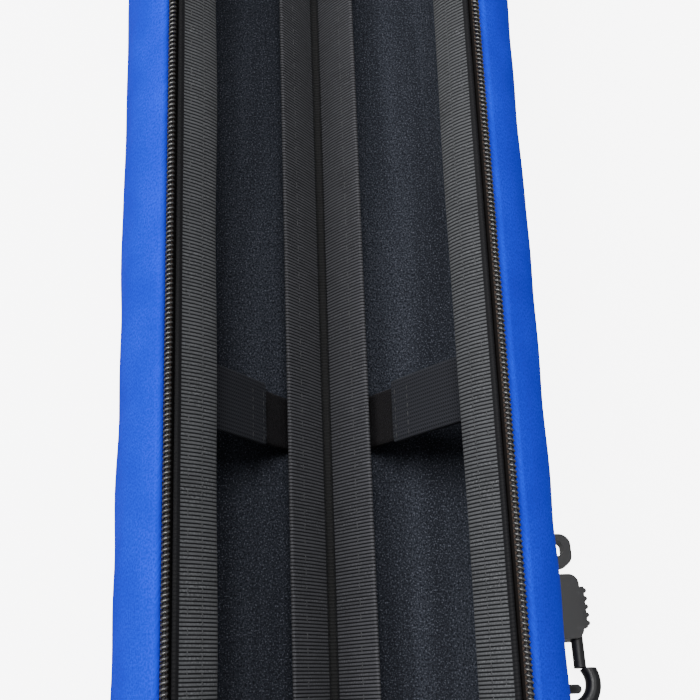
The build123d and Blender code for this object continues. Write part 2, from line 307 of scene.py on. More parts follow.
def fuzz(shader, weight, tint, roughness=0.5):
    """Soft fibre sheen on a shader."""
    shader.inputs["Sheen Weight"].default_value = weight
    shader.inputs["Sheen Roughness"].default_value = roughness
    shader.inputs["Sheen Tint"].default_value = (*tint, 1.0)


def cover_fabric():
    """Blue brushed polyester over foam: fine plain weave, faint mottling and sheen."""
    material, tree, shader = nodes_of("cover_fabric")
    where = coordinates(tree, True)
    across, along = split(tree, where)
    weave = math_node(tree, "MULTIPLY", ridge(tree, across, 0.42), ridge(tree, along, 0.42))
    grain = noise(tree, where, 1.6, 5)
    mottle = noise(tree, where, 0.06, 4)
    colour = ramp(tree, mottle, 0.3, 0.7, (0.0030, 0.021, 0.60), (0.0045, 0.033, 0.80))
    colour = ramp(tree, grain, 0.25, 0.62, (0.0018, 0.013, 0.42), colour)
    tree.links.new(colour, shader.inputs["Base Color"])
    shader.inputs["Roughness"].default_value = 0.78
    shader.inputs["Specular IOR Level"].default_value = 0.04
    fuzz(shader, 0.02, (0.15, 0.3, 1.0), 0.45)
    height = math_node(tree, "ADD", weave, math_node(tree, "MULTIPLY", grain, 1.4))
    bump(tree, shader, height, 0.05, 0.7)
    return material


def lining_fabric():
    """Dark blue-grey brushed knit with pale flecks and soft lengthwise tone changes."""
    material, tree, shader = nodes_of("lining_fabric")
    where = coordinates(tree, True)
    stretch = tree.nodes.new("ShaderNodeMapping")
    stretch.inputs["Scale"].default_value = (1.0, 0.08, 1.0)
    tree.links.new(where, stretch.inputs["Vector"])
    streak = noise(tree, stretch.outputs["Vector"], 0.09, 2)
    fibre = noise(tree, where, 1.5, 6)
    fleck = noise(tree, where, 1.9, 3)
    base = ramp(tree, streak, 0.35, 0.66, (0.017, 0.019, 0.025), (0.034, 0.038, 0.049))
    base = ramp(tree, fibre, 0.38, 0.66, (0.007, 0.008, 0.011), base)
    colour = ramp(tree, fleck, 0.56, 0.70, base, (0.085, 0.092, 0.115))
    tree.links.new(colour, shader.inputs["Base Color"])
    shader.inputs["Roughness"].default_value = 0.95
    shader.inputs["Specular IOR Level"].default_value = 0.06
    fuzz(shader, 0.10, (0.45, 0.5, 0.62), 0.6)
    bump(tree, shader, fibre, 0.22, 0.9)
    return material


def grosgrain(name, pitch, lit_crest, shaded_valley):
    """Ribbed ribbon: crests along UV x at every pitch painted lighter as lit, painted shade in the valleys
    between them and on the plain edge past the ribs.
    """
    material, tree, shader = nodes_of(name)
    where = coordinates(tree, True)
    along, across = split(tree, where)
    lift = ridge(tree, along, pitch)
    fibre = noise(tree, where, 1.9, 5)
    uneven = tree.nodes.new("ShaderNodeMapping")
    uneven.inputs["Scale"].default_value = (1.0, 0.16, 1.0)
    tree.links.new(where, uneven.inputs["Vector"])
    rows = noise(tree, uneven.outputs["Vector"], 0.9, 3)
    patch = noise(tree, where, 0.11, 3)
    # Lit crest colour: rib tops painted lighter as if lit, with random fibre, row and patch tone.
    crest_colour = ramp(tree, fibre, 0.40, 0.62, tuple(0.28 * c for c in lit_crest), lit_crest)
    crest_colour = ramp(tree, rows, 0.36, 0.62, tuple(0.45 * c for c in lit_crest), crest_colour)
    crest_colour = ramp(tree, patch, 0.3, 0.7, tuple(0.6 * c for c in lit_crest), crest_colour)
    # Painted shade in the valleys between the ribs, painted light on their crests.
    colour = ramp(tree, lift, 0.12, 0.6, shaded_valley, crest_colour)
    inside = math_node(tree, "GREATER_THAN", across, 1.25)
    # Painted shade on the plain rolled outer edge past the ribs.
    colour = ramp(tree, inside, 0.0, 1.0, tuple(1.1 * c for c in shaded_valley), colour)
    tree.links.new(colour, shader.inputs["Base Color"])
    shader.inputs["Roughness"].default_value = 0.62
    shader.inputs["Specular IOR Level"].default_value = 0.12
    fuzz(shader, 0.04, (0.8, 0.82, 0.85), 0.5)
    height = math_node(tree, "ADD", math_node(tree, "MULTIPLY", lift, 2.0), fibre)
    bump(tree, shader, height, 0.06, 0.6)
    return material


def zip_tape_fabric():
    """Black-brown woven tape with a paler brown guide line beside the coil."""
    material, tree, shader = nodes_of("zip_tape_fabric")
    where = coordinates(tree, True)
    along, across = split(tree, where)
    line = math_node(tree, "MULTIPLY", math_node(tree, "GREATER_THAN", across, 0.75),
                     math_node(tree, "LESS_THAN", across, 1.45))
    twill = ridge(tree, math_node(tree, "ADD", along, across), 0.5)
    weave = ramp(tree, twill, 0.2, 0.9, (0.006, 0.005, 0.005), (0.017, 0.014, 0.013))
    brown = ramp(tree, twill, 0.2, 0.9, (0.035, 0.024, 0.019), (0.10, 0.072, 0.058))
    tree.links.new(ramp(tree, line, 0, 1, weave, brown), shader.inputs["Base Color"])
    shader.inputs["Roughness"].default_value = 0.75
    shader.inputs["Specular IOR Level"].default_value = 0.15
    bump(tree, shader, twill, 0.08, 0.8)
    return material


def webbing(name, pale, dark, on_uv=True):
    """Flat woven webbing: offset weft floats between fine lengthwise ridges."""
    material, tree, shader = nodes_of(name)
    where = coordinates(tree, on_uv)
    along, across = split(tree, where) if on_uv else split(tree, where, "Y", "Z")
    warp = ridge(tree, across, 1.1)
    shifted = math_node(tree, "ADD", along, math_node(tree, "MULTIPLY", warp, 0.45))
    weft = ridge(tree, shifted, 0.9)
    fibre = noise(tree, where, 4.0, 5)
    height = math_node(tree, "MULTIPLY", math_node(tree, "ADD", weft, warp), 0.5)
    height = math_node(tree, "ADD", height, math_node(tree, "MULTIPLY", fibre, 0.7))
    tree.links.new(ramp(tree, height, 0.35, 1.15, dark, pale), shader.inputs["Base Color"])
    shader.inputs["Roughness"].default_value = 0.8
    shader.inputs["Specular IOR Level"].default_value = 0.06
    fuzz(shader, 0.04, (0.6, 0.65, 0.75), 0.5)
    bump(tree, shader, height, 0.16, 0.8)
    return material


def pile(name, colour, scale):
    """Rough pile of hooks or loops."""
    material, tree, shader = nodes_of(name)
    where = coordinates(tree, True)
    tuft = noise(tree, where, scale, 7)
    tree.links.new(ramp(tree, tuft, 0.35, 0.72, tuple(0.3 * c for c in colour), colour),
                   shader.inputs["Base Color"])
    shader.inputs["Roughness"].default_value = 0.9
    shader.inputs["Specular IOR Level"].default_value = 0.06
    fuzz(shader, 0.05, (0.5, 0.5, 0.55), 0.4)
    bump(tree, shader, tuft, 0.5, 1.0)
    return material


def hard(name, colour, roughness, metallic=0.0, grain_mm=0.01, worn=(0.06, 0.06, 0.065)):
    """Moulded plastic or painted metal with grain, faint scuffs and uneven gloss."""
    material, tree, shader = nodes_of(name)
    where = coordinates(tree, False)
    grain = noise(tree, where, 1.6, 5)
    scuff = noise(tree, where, 0.35, 6)
    tree.links.new(ramp(tree, scuff, 0.6, 0.78, colour, worn), shader.inputs["Base Color"])
    gloss = tree.nodes.new("ShaderNodeMapRange")
    gloss.inputs["To Min"].default_value = roughness - 0.08
    gloss.inputs["To Max"].default_value = roughness + 0.14
    tree.links.new(grain, gloss.inputs["Value"])
    tree.links.new(gloss.outputs["Result"], shader.inputs["Roughness"])
    shader.inputs["Metallic"].default_value = metallic
    shader.inputs["Specular IOR Level"].default_value = 0.3
    bump(tree, shader, grain, grain_mm, 0.6)
    return material


def thread_material(name, colour):
    """Twisted polyester thread."""
    material, tree, shader = nodes_of(name)
    where = coordinates(tree, True)
    along, across = split(tree, where)
    twist = ridge(tree, math_node(tree, "ADD", along, across), 0.3)
    tree.links.new(ramp(tree, twist, 0, 1, tuple(0.45 * c for c in colour), colour),
                   shader.inputs["Base Color"])
    shader.inputs["Roughness"].default_value = 0.55
    bump(tree, shader, twist, 0.04, 0.6)
    return material


def coil_material():
    """Glossy black nylon monofilament."""
    material, tree, shader = nodes_of("coil_nylon")
    where = coordinates(tree, True)
    grain = noise(tree, where, 1.3, 3)
    tree.links.new(ramp(tree, grain, 0.3, 0.7, (0.012, 0.012, 0.013), (0.040, 0.039, 0.039)),
                   shader.inputs["Base Color"])
    shader.inputs["Roughness"].default_value = 0.22
    shader.inputs["Specular IOR Level"].default_value = 0.9
    bump(tree, shader, grain, 0.01, 0.5)
    return material


def floor_material():
    """Matte near-white paper."""
    material, tree, shader = nodes_of("floor_paper")
    where = coordinates(tree, False)
    tone = noise(tree, where, 0.004, 2)
    tree.links.new(ramp(tree, tone, 0.3, 0.7, (0.93, 0.93, 0.935), (0.96, 0.96, 0.96)),
                   shader.inputs["Base Color"])
    shader.inputs["Roughness"].default_value = 0.9
    shader.inputs["Emission Color"].default_value = (1.0, 1.0, 1.0, 1.0)
    shader.inputs["Emission Strength"].default_value = floor_glow
    return material


COVER = cover_fabric()
LINING = lining_fabric()
# Ribbons: first colour the rib crests painted as lit, second the painted shade between the ribs.
RIBBON = grosgrain("zip_ribbon", rib_pitch, (0.115, 0.119, 0.126), (0.004, 0.004, 0.005))
SPINE_RIBBON = grosgrain("spine_ribbon", rib_pitch, (0.098, 0.099, 0.110), (0.005, 0.005, 0.006))
# The hinge ribbon is painted near black: painted shade of the narrow spine groove it lies in.
GROOVE_SHADED_HINGE = grosgrain("hinge_ribbon_groove_shade", rib_pitch, (0.012, 0.012, 0.013), (0.003, 0.003, 0.003))
TAPE = zip_tape_fabric()
WEB = webbing("strap_web", (0.024, 0.025, 0.030), (0.003, 0.003, 0.004))
TAB_WEB = webbing("tab_web", (0.040, 0.041, 0.045), (0.005, 0.005, 0.006), on_uv=False)
LOOP = pile("loop_pile", (0.013, 0.012, 0.013), 2.2)
HOOKS = pile("hook_pile", (0.020, 0.020, 0.024), 5.0)
THREAD = thread_material("ribbon_thread", (0.035, 0.036, 0.040))
PALE_THREAD = thread_material("strap_thread", (0.016, 0.017, 0.020))
TAB_THREAD = thread_material("tab_thread", (0.090, 0.092, 0.100))
COIL = coil_material()
CORE = thread_material("coil_cord", (0.010, 0.010, 0.011))
RING_PLASTIC = hard("ring_acetal", (0.006, 0.006, 0.007), 0.34, worn=(0.018, 0.018, 0.020))
HOOK_PLASTIC = hard("hook_acetal", (0.005, 0.005, 0.006), 0.38, worn=(0.016, 0.016, 0.018))
LATCH_PLASTIC = hard("latch_acetal", (0.008, 0.008, 0.009), 0.48, worn=(0.020, 0.020, 0.022))
ZIP_METAL = hard("zip_paint", (0.010, 0.010, 0.011), 0.36, 0.4, worn=(0.07, 0.065, 0.065))


# ---- shells ----
def meridian(radius, end, corner, bulge, rows_end=7, rows_corner=9, step=4.0):
    """Distance along the case and radius of a half tube's lengthwise profile, end to end."""
    cap = np.linspace(rim_drop, radius - corner, rows_end)
    arc = np.linspace(0, math.pi / 2, rows_corner)[1:]
    flat = 1 - (cap / (radius - corner)) ** 2
    cap_y = end + bulge * flat
    arc_y = end - corner + corner * np.cos(arc)
    arc_r = radius - corner + corner * np.sin(arc)
    along = steps(-(end - corner), end - corner, step)[1:-1]
    y = np.concatenate([-cap_y, -arc_y, along, arc_y[::-1], cap_y[::-1]])
    r = np.concatenate([cap, arc_r, np.full(len(along), radius), arc_r[::-1], cap[::-1]])
    return y, r


def half_tube(side, profile, columns, waviness, seed):
    """A half tube's surface with its UVs, its rows along the case and its columns round it."""
    y, r = profile
    first = np.arcsin(np.minimum(1, rim_drop / np.maximum(r, rim_drop)))
    part = np.linspace(0, 1, columns)
    angle = first[:, None] + part[None, :] * (math.pi - 2 * first[:, None])
    run = shell_radius * angle
    travel = np.concatenate([[0], np.cumsum(np.hypot(np.diff(y), np.diff(r)))])
    uv = np.stack(np.broadcast_arrays(run, travel[:, None]), axis=-1)
    fade = np.sin(math.pi * part) ** 0.5 * np.clip((r[:, None] - rim_drop) / 20, 0, 1)
    radius = r[:, None] + waviness * waves(run, travel[:, None], seed) * fade
    return rim(side, centre_s + radius * np.cos(angle), y[:, None], -radius * np.sin(angle)), uv


def joining_strip(first, second, uv_a, uv_b, rise, side, across=5):
    """A strip between two edges of the same length, raised in its middle."""
    part = np.linspace(0, 1, across)[:, None, None]
    lift = np.array(outward(side)) * MM * rise
    grid = first[None] * (1 - part) + second[None] * part + np.sin(math.pi * part) * lift
    return grid, uv_a[None] * (1 - part) + uv_b[None] * part


def layered_shell(name, side, outer, inner, material, waviness, seed, rise):
    """A closed half tube with an outer and an inner skin joined round its rim."""
    out_grid, out_uv = half_tube(side, outer, shell_columns, waviness[0], seed)
    in_grid, in_uv = half_tube(side, inner, shell_columns, waviness[1], seed + 1)
    patches = [(out_grid, out_uv), (in_grid, in_uv)]
    for column in (0, -1):
        patches.append(joining_strip(out_grid[:, column], in_grid[:, column], out_uv[:, column],
                                     in_uv[:, column], rise, side))
    return patches_object(name, patches, material)


def make_shell(side):
    """Cover: foam laminate with rounded ends, slightly soft on the outside."""
    end_bulge = 1.2
    outer = meridian(shell_radius, half_length, corner_radius, end_bulge)
    inner = meridian(shell_radius - shell_wall, half_length - shell_wall, corner_radius - shell_wall, 0.0)
    cover = layered_shell(f"{side}_cover", side, outer, inner, COVER, (0.22, 0.0), 11, 0.25)
    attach(cover, BODY[side])
    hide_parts(f"{side}_shell")


def make_lining(side):
    """Lining: thin knit bonded inside the foam, with shallow slack."""
    radius = shell_radius - shell_wall - lining_gap
    end = half_length - shell_wall - lining_gap
    corner = corner_radius - shell_wall
    outer = meridian(radius, end, corner, 0.0, step=3.0)
    inner = meridian(radius - lining_thickness, end - lining_thickness, corner, 0.0, step=3.0)
    lining = layered_shell(f"{side}_lining_cloth", side, outer, inner, LINING, (0.0, 0.28), 23, 0.0)
    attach(lining, BODY[side])
    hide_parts(f"{side}_lining")


# ---- the zip's run round the rim ----
def run(inset, start, step, mitre=14.0, arc_rows=9):
    """s, y and rib coordinate along the zip's U at one inset, the same count at every inset."""
    turn = max(corner_radius - inset, 0.0)
    turn_s, turn_y = rim_outer - inset - turn, half_length - inset - turn
    straight = steps(start, inner_s, step)
    lead = np.linspace(0, 1, int(mitre / step))[1:]
    arc = np.linspace(0, math.pi / 2, arc_rows)[1:]
    lead_s = inner_s + lead * (turn_s - inner_s)
    lead_y = turn_y - lead * (turn_y - end_clear)
    side_y = steps(-end_clear, end_clear, step)[1:-1]
    s = np.concatenate([straight, lead_s, turn_s + turn * np.sin(arc), np.full(len(lead_y), turn_s + turn)])
    y = np.concatenate([np.full(len(straight) + len(lead_s), turn_y + turn),
                        turn_y + turn * np.cos(arc), lead_y])
    rib = np.concatenate([straight, lead_s, np.full(len(arc), turn_s), turn_s + turn_y - lead_y])
    return (np.concatenate([s, np.full(len(side_y), turn_s + turn), s[::-1]]),
            np.concatenate([-y, side_y, y[::-1]]),
            np.concatenate([rib, side_y, rib[::-1]]))


def band(side, insets, heights, start, step, ribs=None):
    """A band round the zip's U: insets and heights are its section's points in order."""
    grid, uv = [], []
    for number, inset in enumerate(insets):
        s, y, rib = run(inset, start, step)
        height = heights[number] if np.ndim(heights[number]) else np.full(len(s), heights[number])
        if ribs is not None:
            height = height + ribs[number] * rib_wave(rib)
        grid.append(rim(side, s, y, height))
        uv.append(np.stack([rib, np.full(len(s), inset - insets[0])], axis=-1))
    return np.stack(grid, axis=1), np.stack(uv, axis=1)


def ribbon_section(width, thickness, tops=15, rolled=0.0):
    """A ribbon's section: distance from its outer edge, height, and how far each point is ribbed."""
    edge = thickness / 2
    roll = np.linspace(math.pi, math.pi / 2, 5)
    outer = [(edge + edge * math.cos(a), edge + rolled + (edge + rolled) * math.sin(a) - rolled * 0.5)
             for a in roll]
    top = [(x, thickness) for x in np.linspace(edge * 2.4, width - edge, tops)]
    inner = [(width - edge + edge * math.sin(a), edge + edge * math.cos(a))
             for a in np.linspace(0.5, math.pi, 4)]
    bottom = [(x, 0.0) for x in np.linspace(width - edge * 2, edge, 4)]
    points = outer + top + inner + bottom
    ribbed = [0.0] * len(outer) + [1.0 if x > 1.2 else 0.3 for x, _ in top] + [0.5] + [0.0] * 3 + [0.0] * 4
    return np.array(points), np.array(ribbed)


def lift_of(side, across):
    """How far a zip ribbon's free inner side stands up, at a distance from its outer edge."""
    part = np.clip(across / binding_width, 0, 1)
    return lip_lift[side] * part ** 1.1 + lip_crown * math.sin(math.pi * part) ** 0.8


def slack_of(side, s, y):
    """How unevenly that lip stands up along the case, about 1."""
    return 1 + 0.10 * waves(y, s * 0.2, 31 + SIDES[side], 5, 0.004, 0.014)


def soften(side, obj):
    """Gives a raised lip its own mesh; its base point on the rim is worked out but not used."""
    anchor = rim(side, rim_outer - binding_inset, 0.0, binding_base)
    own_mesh(obj)


def make_zip_ribbon(side):
    """Zip ribbon: ribbed, with a plain rolled outer edge and two sewn grooves."""
    section, ribbed = ribbon_section(binding_width, binding_thickness, rolled=0.15)
    insets, heights, ribs = binding_inset + section[:, 0], [], []
    seams = [part * binding_width for part, _, _ in zip_seams]
    for (across, height), share in zip(section, ribbed):
        groove = sum(sewn_groove(across - seam) for seam in seams) if share > 0 else 0.0
        s, y, _ = run(binding_inset + across, run_start, rib_step)
        heights.append(binding_base + height - groove + lift_of(side, across) * slack_of(side, s, y))
        ribs.append(rib_height * share)
    grid, uv = band(side, insets, heights, run_start, rib_step, ribs)
    ribbon = patches_object(f"{side}_zip_ribbon", [closed_tube(grid, uv)], RIBBON)
    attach(ribbon, BODY[side])
    soften(side, ribbon)
    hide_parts(f"{side}_zip_binding")


def make_tape(side):
    """Zip tape between the coil and the ribbon, with a raised guide line."""
    low, high = extent("right", "right_zip_tape")
    width, top, base = 14.6, high[2], low[2]
    section = [(0.0, top - 0.5), (0.1, top), (0.7, top), (0.85, top + 0.25), (1.1, top + 0.35),
               (1.35, top + 0.25), (1.55, top - 0.05), (width, top - 0.05),
               (width, base + 0.1), (0.0, base + 0.1)]
    insets = np.array([tape_inset + across for across, _ in section])
    grid, uv = band(side, insets, [height for _, height in section], run_start, 0.5)
    tape = patches_object(f"{side}_tape", [closed_tube(grid, uv)], TAPE)
    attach(tape, BODY[side])
    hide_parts(f"{side}_zip_tape")


def coil_path(count, start):
    """count points evenly along the coil's U, with their outward directions."""
    turn = corner_radius - coil_inset
    side_s, end_y = rim_outer - coil_inset, half_length - coil_inset
    straight, quarter = side_s - turn - start, turn * math.pi / 2
    length = 2 * (straight + quarter + end_y - turn)
    at = np.linspace(0, length, count)
    mirrored = at > length / 2
    t = np.where(mirrored, length - at, at)
    angle = np.clip((t - straight) / turn, 0, math.pi / 2)
    rest = np.maximum(t - straight - quarter, 0)
    s = np.where(t < straight, start + t, side_s - turn + turn * np.sin(angle))
    y = -end_y + np.where(t < straight, 0, turn - turn * np.cos(angle)) + rest
    out_s, out_y = np.sin(angle), -np.cos(angle)
    flip = np.where(mirrored, -1.0, 1.0)
    return at, s, y * flip, out_s, out_y * flip


def tube_along(side, centre, side_ways, wire, sides, uv_step, at):
    """A round wire along points (s, y, d), with a reference direction across it."""
    forward = np.gradient(centre, axis=0)
    forward /= np.linalg.norm(forward, axis=1, keepdims=True)
    across = side_ways - (side_ways * forward).sum(1, keepdims=True) * forward
    across /= np.linalg.norm(across, axis=1, keepdims=True)
    other = np.cross(forward, across)
    angle = np.arange(sides) * math.tau / sides
    ring = (across[:, None] * np.cos(angle)[None, :, None] + other[:, None] * np.sin(angle)[None, :, None])
    points = centre[:, None] + wire * ring
    uv = np.stack(np.broadcast_arrays(at[:, None], angle[None, :] * uv_step), axis=-1)
    return closed_tube(rim(side, points[..., 0], points[..., 1], points[..., 2]), uv)


def make_coil(side):
    """Zip coil: one wound monofilament the whole way round, over its filler cord."""
    start, wire, half_wide, half_tall, per_turn = coil_low[0], 0.36, 0.66, 0.8, 12
    cord_radius, cord_points = 0.38, 900
    length = coil_path(2, start)[0][-1]
    count = int(length / coil_pitch * per_turn)
    at, s, y, out_s, out_y = coil_path(count, start)
    turn = at * math.tau / coil_pitch
    centre = np.stack([s + half_wide * np.cos(turn) * out_s, y + half_wide * np.cos(turn) * out_y,
                       coil_d + half_tall * np.sin(turn)], axis=-1)
    radial = np.stack([np.cos(turn) * out_s, np.cos(turn) * out_y, np.sin(turn)], axis=-1)
    coil = patches_object(f"{side}_coil", [tube_along(side, centre, radial, wire, 6, 0.4, at)], COIL)
    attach(coil, BODY[side])
    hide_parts(f"{side}_zip_coil")
    at, s, y, out_s, out_y = coil_path(cord_points, start)
    centre = np.stack([s, y, np.full(len(s), coil_d)], axis=-1)
    sideways = np.stack([out_s, out_y, np.zeros(len(s))], axis=-1)
    cord = patches_object(f"{side}_coil_cord",
                          [tube_along(side, centre, sideways, cord_radius, 8, 0.5, at)], CORE)
    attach(cord, BODY[side])


def stitch(side, place, heading, length, radius, height, up=(0.0, 0.0, 1.0)):
    """One stitch: a short thread capsule that dips into the cloth at both ends."""
    part = np.linspace(-1, 1, 6)
    centre = place[None] + heading[None] * (part * length / 2)[:, None]
    centre = centre + np.array(up)[None] * (height - radius * 1.9 * part ** 2)[:, None]
    across = np.broadcast_to(np.cross(heading, up), centre.shape)
    return tube_along(side, centre, across, radius, 5, 0.2, part * length)


def make_zip_stitches(side):
    """The ribbon's two sewn lines, long stitches outside and short ones inside."""
    patches = []
    for part, spacing, length in zip_seams:
        across = part * binding_width
        s, y, _ = run(binding_inset + across, run_start, 0.5)
        travel = np.concatenate([[0], np.cumsum(np.hypot(np.diff(s), np.diff(y)))])
        for at in np.arange(spacing, travel[-1] - spacing, spacing):
            here = np.array([np.interp(at, travel, s), np.interp(at, travel, y), 0.0])
            ahead = np.array([np.interp(at + 0.5, travel, s), np.interp(at + 0.5, travel, y), 0.0])
            heading = (ahead - here) / max(np.linalg.norm(ahead - here), 1e-6)
            slack = slack_of(side, here[0], here[1])
            here[2] = binding_base + binding_thickness + lift_of(side, across) * slack
            patches.append(stitch(side, here, heading, length, thread_radius, thread_stand))
    stitches = patches_object(f"{side}_zip_stitches", patches, THREAD)
    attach(stitches, BODY[side])
    soften(side, stitches)


# ---- the spine ----
def spine_crown(part):
    """How far the ribbon stands off the rim: rolled up at the spine, full in the middle."""
    return 1.5 * (1 - part) ** 2 + 0.7 * math.sin(math.pi * part)


def make_spine_ribbon(side):
    """Spine ribbon: ribbed, soft edged and slightly crowned, with one sewn line."""
    low, high = extent(side, f"{side}_spine_binding")
    width, thickness = high[0] - low[0] + spine_overhang, high[2] - low[2]
    start = low[0] - spine_overhang
    section, ribbed = ribbon_section(width, thickness, tops=13)
    y = steps(low[1], high[1], rib_step)
    sewn = spine_seam * width
    grid, uv = [], []
    for (across, height), share in zip(section, ribbed):
        crown = spine_crown(across / width)
        groove = sewn_groove(across - sewn) if share > 0 else 0.0
        ribs = rib_height * share * rib_wave(y)
        grid.append(rim(side, start + across, y, low[2] + height + crown - groove + ribs))
        uv.append(np.stack([y, np.full(len(y), across)], axis=-1))
    ribbon = patches_object(f"{side}_spine_ribbon",
                            [closed_tube(np.stack(grid, 1), np.stack(uv, 1))], SPINE_RIBBON)
    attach(ribbon, BODY[side])
    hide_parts(f"{side}_spine_binding")
    patches = []
    top = low[2] + thickness + spine_crown(sewn / width)
    spacing, length, clear = 4.4, 2.4, 4.0
    for at in np.arange(low[1] + clear, high[1] - clear, spacing):
        place = np.array([start + sewn, at, top])
        patches.append(stitch(side, place, ALONG, length, thread_radius, thread_stand))
    stitches = patches_object(f"{side}_spine_stitches", patches, THREAD)
    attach(stitches, BODY[side])


def make_hinge():
    """Hinge tape: a ribbed strip sagging between the halves."""
    y = steps(-half_length + 6, half_length - 6, rib_step)
    reach, base, thickness = 2.6, binding_base - 0.2, 0.5
    right, left = rim("right", reach, 0.0, base), rim("left", reach, 0.0, base)
    low = np.array([spine_x * MM, 0.0, (spine_z - 2.2) * MM])
    grid, uv = [], []
    parts = np.linspace(0, 1, 9)
    for under in (False, True):
        for part in (parts[::-1] if under else parts):
            point = (1 - part) ** 2 * right + 2 * part * (1 - part) * low + part ** 2 * left
            point = point - (np.array([0, 0, thickness * MM]) if under else 0)
            column = np.tile(point, (len(y), 1))
            column[:, 1] = y * MM
            if not under:
                column[:, 2] += rib_height * MM * rib_wave(y)
            grid.append(column)
            uv.append(np.stack([y, np.full(len(y), 2 + part * 8)], axis=-1))
    # The hinge strip takes the near-black painted groove shade.
    hinge = patches_object("hinge_strip", [closed_tube(np.stack(grid, 1), np.stack(uv, 1))], GROOVE_SHADED_HINGE)
    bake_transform(hinge)
    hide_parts("spine_hinge_tape")


# ---- straps ----
def strip(side, s, y_middle, width, d, thickness, ridges, across):
    """A flat strip along s with soft selvedges, its weave ridges lengthwise."""
    part = np.linspace(-1, 1, across)
    edge = np.sqrt(np.clip(1 - np.abs(part) ** 14, 0, 1))
    top = thickness * edge + ridges * (0.5 + 0.5 * np.cos(part * width / 2 * math.tau / 1.1)) * edge
    y = np.concatenate([part, part[::-1][1:-1]]) * width / 2
    height = np.concatenate([top, np.zeros(across - 2)])
    d = np.broadcast_to(d, s.shape)
    grid = rim(side, s[:, None], y_middle + y[None, :], d[:, None] + height[None, :])
    uv = np.stack(np.broadcast_arrays(s[:, None], y[None, :]), axis=-1)
    return closed_tube(grid, uv)


def make_strap(side, number):
    """Holding strap: sewn at the rim, free end over the loop patch."""
    low, high = extent(side, f"{side}_strap_{number}")
    middle, width = (low[1] + high[1]) / 2, high[1] - low[1]
    s = steps(low[0], high[0] + strap_overlap, strap_step)
    part = (s - low[0]) / (high[0] - low[0])
    d = low[2] - 0.12 + 0.45 * np.sin(math.pi * np.clip(part, 0, 1)) * (1 - 0.4 * part)
    body = f"{side}_strap_{number}"
    web = patches_object(f"{side}_web_{number}",
                         [strip(side, s, middle, width, d, high[2] - low[2], 0.1, 39)], WEB)
    start = rim(side, high[0] + strap_overlap, middle, high[2])
    end = rim(side, high[0] - 2.5, middle, high[2])
    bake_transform(web)
    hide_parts(f"{side}_strap_{number}")
    low_h, high_h = extent(side, f"{side}_strap_hooks_{number}")
    height = high_h[2] - low_h[2]
    hook_s = steps(low_h[0] + 0.3, high_h[0], 0.5)
    grid, uv = strip(side, hook_s, middle, high_h[1] - low_h[1], low_h[2], height * 0.9, 0.12, 35)
    hooks = patches_object(f"{side}_hook_tape_{number}", [(grid, uv)], HOOKS)
    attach(hooks, body)
    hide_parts(f"{side}_strap_hooks_{number}")
    patches = []
    spacing, length = 2.6, 1.7
    for row in (low_h[0] + 1.6, low_h[0] + 7.4):
        for at in np.arange(middle - width / 2 + 2, middle + width / 2 - 1.5, spacing):
            here = np.interp(row, s, d)
            place = np.array([row, at, here + high[2] - low[2] + 0.1])
            patches.append(stitch(side, place, ALONG, length, thread_radius, thread_stand))
    stitches = patches_object(f"{side}_web_stitches_{number}", patches, PALE_THREAD)
    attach(stitches, body)


def make_sewn_ends(side):
    """The straps' sewn ends under the zip ribbon, each with a row of stitches."""
    low, high = extent(side, f"{side}_strap_seams")
    patches = []
    for number in STRAPS:
        strap_low, strap_high = extent(side, f"{side}_strap_{number}")
        middle = (strap_low[1] + strap_high[1]) / 2
        s, width = steps(low[0], high[0], strap_step), strap_high[1] - strap_low[1]
        patches.append(strip(side, s, middle, width, low[2], high[2] - low[2], 0.05, 39))
    ends = patches_object(f"{side}_sewn_ends", patches, WEB)
    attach(ends, BODY[side])
    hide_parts(f"{side}_strap_seams")


def make_patches(side):
    """Loop patches: thick uneven pile under the straps' free ends."""
    low, high = extent(side, f"{side}_loop_patches")
    patches = []
    draw = np.random.default_rng(5)
    for number in STRAPS:
        strap_low, strap_high = extent(side, f"{side}_strap_{number}")
        middle = (strap_low[1] + strap_high[1]) / 2
        s = steps(low[0], high[0], 0.5)
        grid, uv = strip(side, s, middle, 16.5, low[2] + 0.2, high[2] - low[2] - 0.35, 0.0, 41)
        rough = draw.uniform(0, 0.16, grid.shape[:2])
        rough[:, -1] = rough[:, 0]
        rough[0], rough[-1] = 0.0, 0.0
        grid = grid + rough[..., None] * np.array(outward(side)) * MM
        patches.append((grid, uv))
    pile_patch = patches_object(f"{side}_loops", patches, LOOP)
    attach(pile_patch, BODY[side])
    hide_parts(f"{side}_loop_patches")


def make_tab_stitches(end):
    """A box of stitches that holds a ring tab on the cover."""
    low = extent("right", f"ring_tab_{end}")[0]
    points = np.array([v.co for v in frame["nodes"][f"ring_tab_{end}"].data.vertices], float) / MM
    middle = rim("right", centre_s, 0.0, 0.0) / MM
    reach = np.hypot(points[:, 0] - middle[0], points[:, 2] - middle[2])
    skin = points[reach < shell_radius + 1.8]
    turn = np.arctan2(skin[:, 2] - middle[2], skin[:, 0] - middle[0]).mean() - tilt
    radius = reach[reach < shell_radius + 1.8].max()
    near, far, half_wide, spacing = low[1] + 2.0, low[1] + 20.0, 5.2, 2.6
    patches = []

    def sew(around, y, heading_around):
        angle = turn + around / radius
        up = np.array([math.cos(angle), 0.0, math.sin(angle)])
        heading = np.array([-up[2], 0.0, up[0]]) if heading_around else ALONG
        place = np.array([centre_s, y, 0.0]) + radius * up
        patches.append(stitch("right", place, heading, 1.8, 0.2, 0.04, tuple(up)))

    for around in (-half_wide, half_wide):
        for y in np.arange(near, far + 0.1, spacing):
            sew(around, y, False)
    for y in (near, far):
        for around in np.arange(-half_wide + spacing / 2, half_wide, spacing):
            sew(around, y, True)
    stitches = patches_object(f"ring_tab_stitches_{end}", patches, TAB_THREAD)
    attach(stitches, "root")


# ---- CAD nodes that stay ----
def paint(node, material):
    """A CAD node keeps its shape and takes a finished material."""
    obj = frame["nodes"][node]
    obj.data.materials.clear()
    obj.data.materials.append(material)


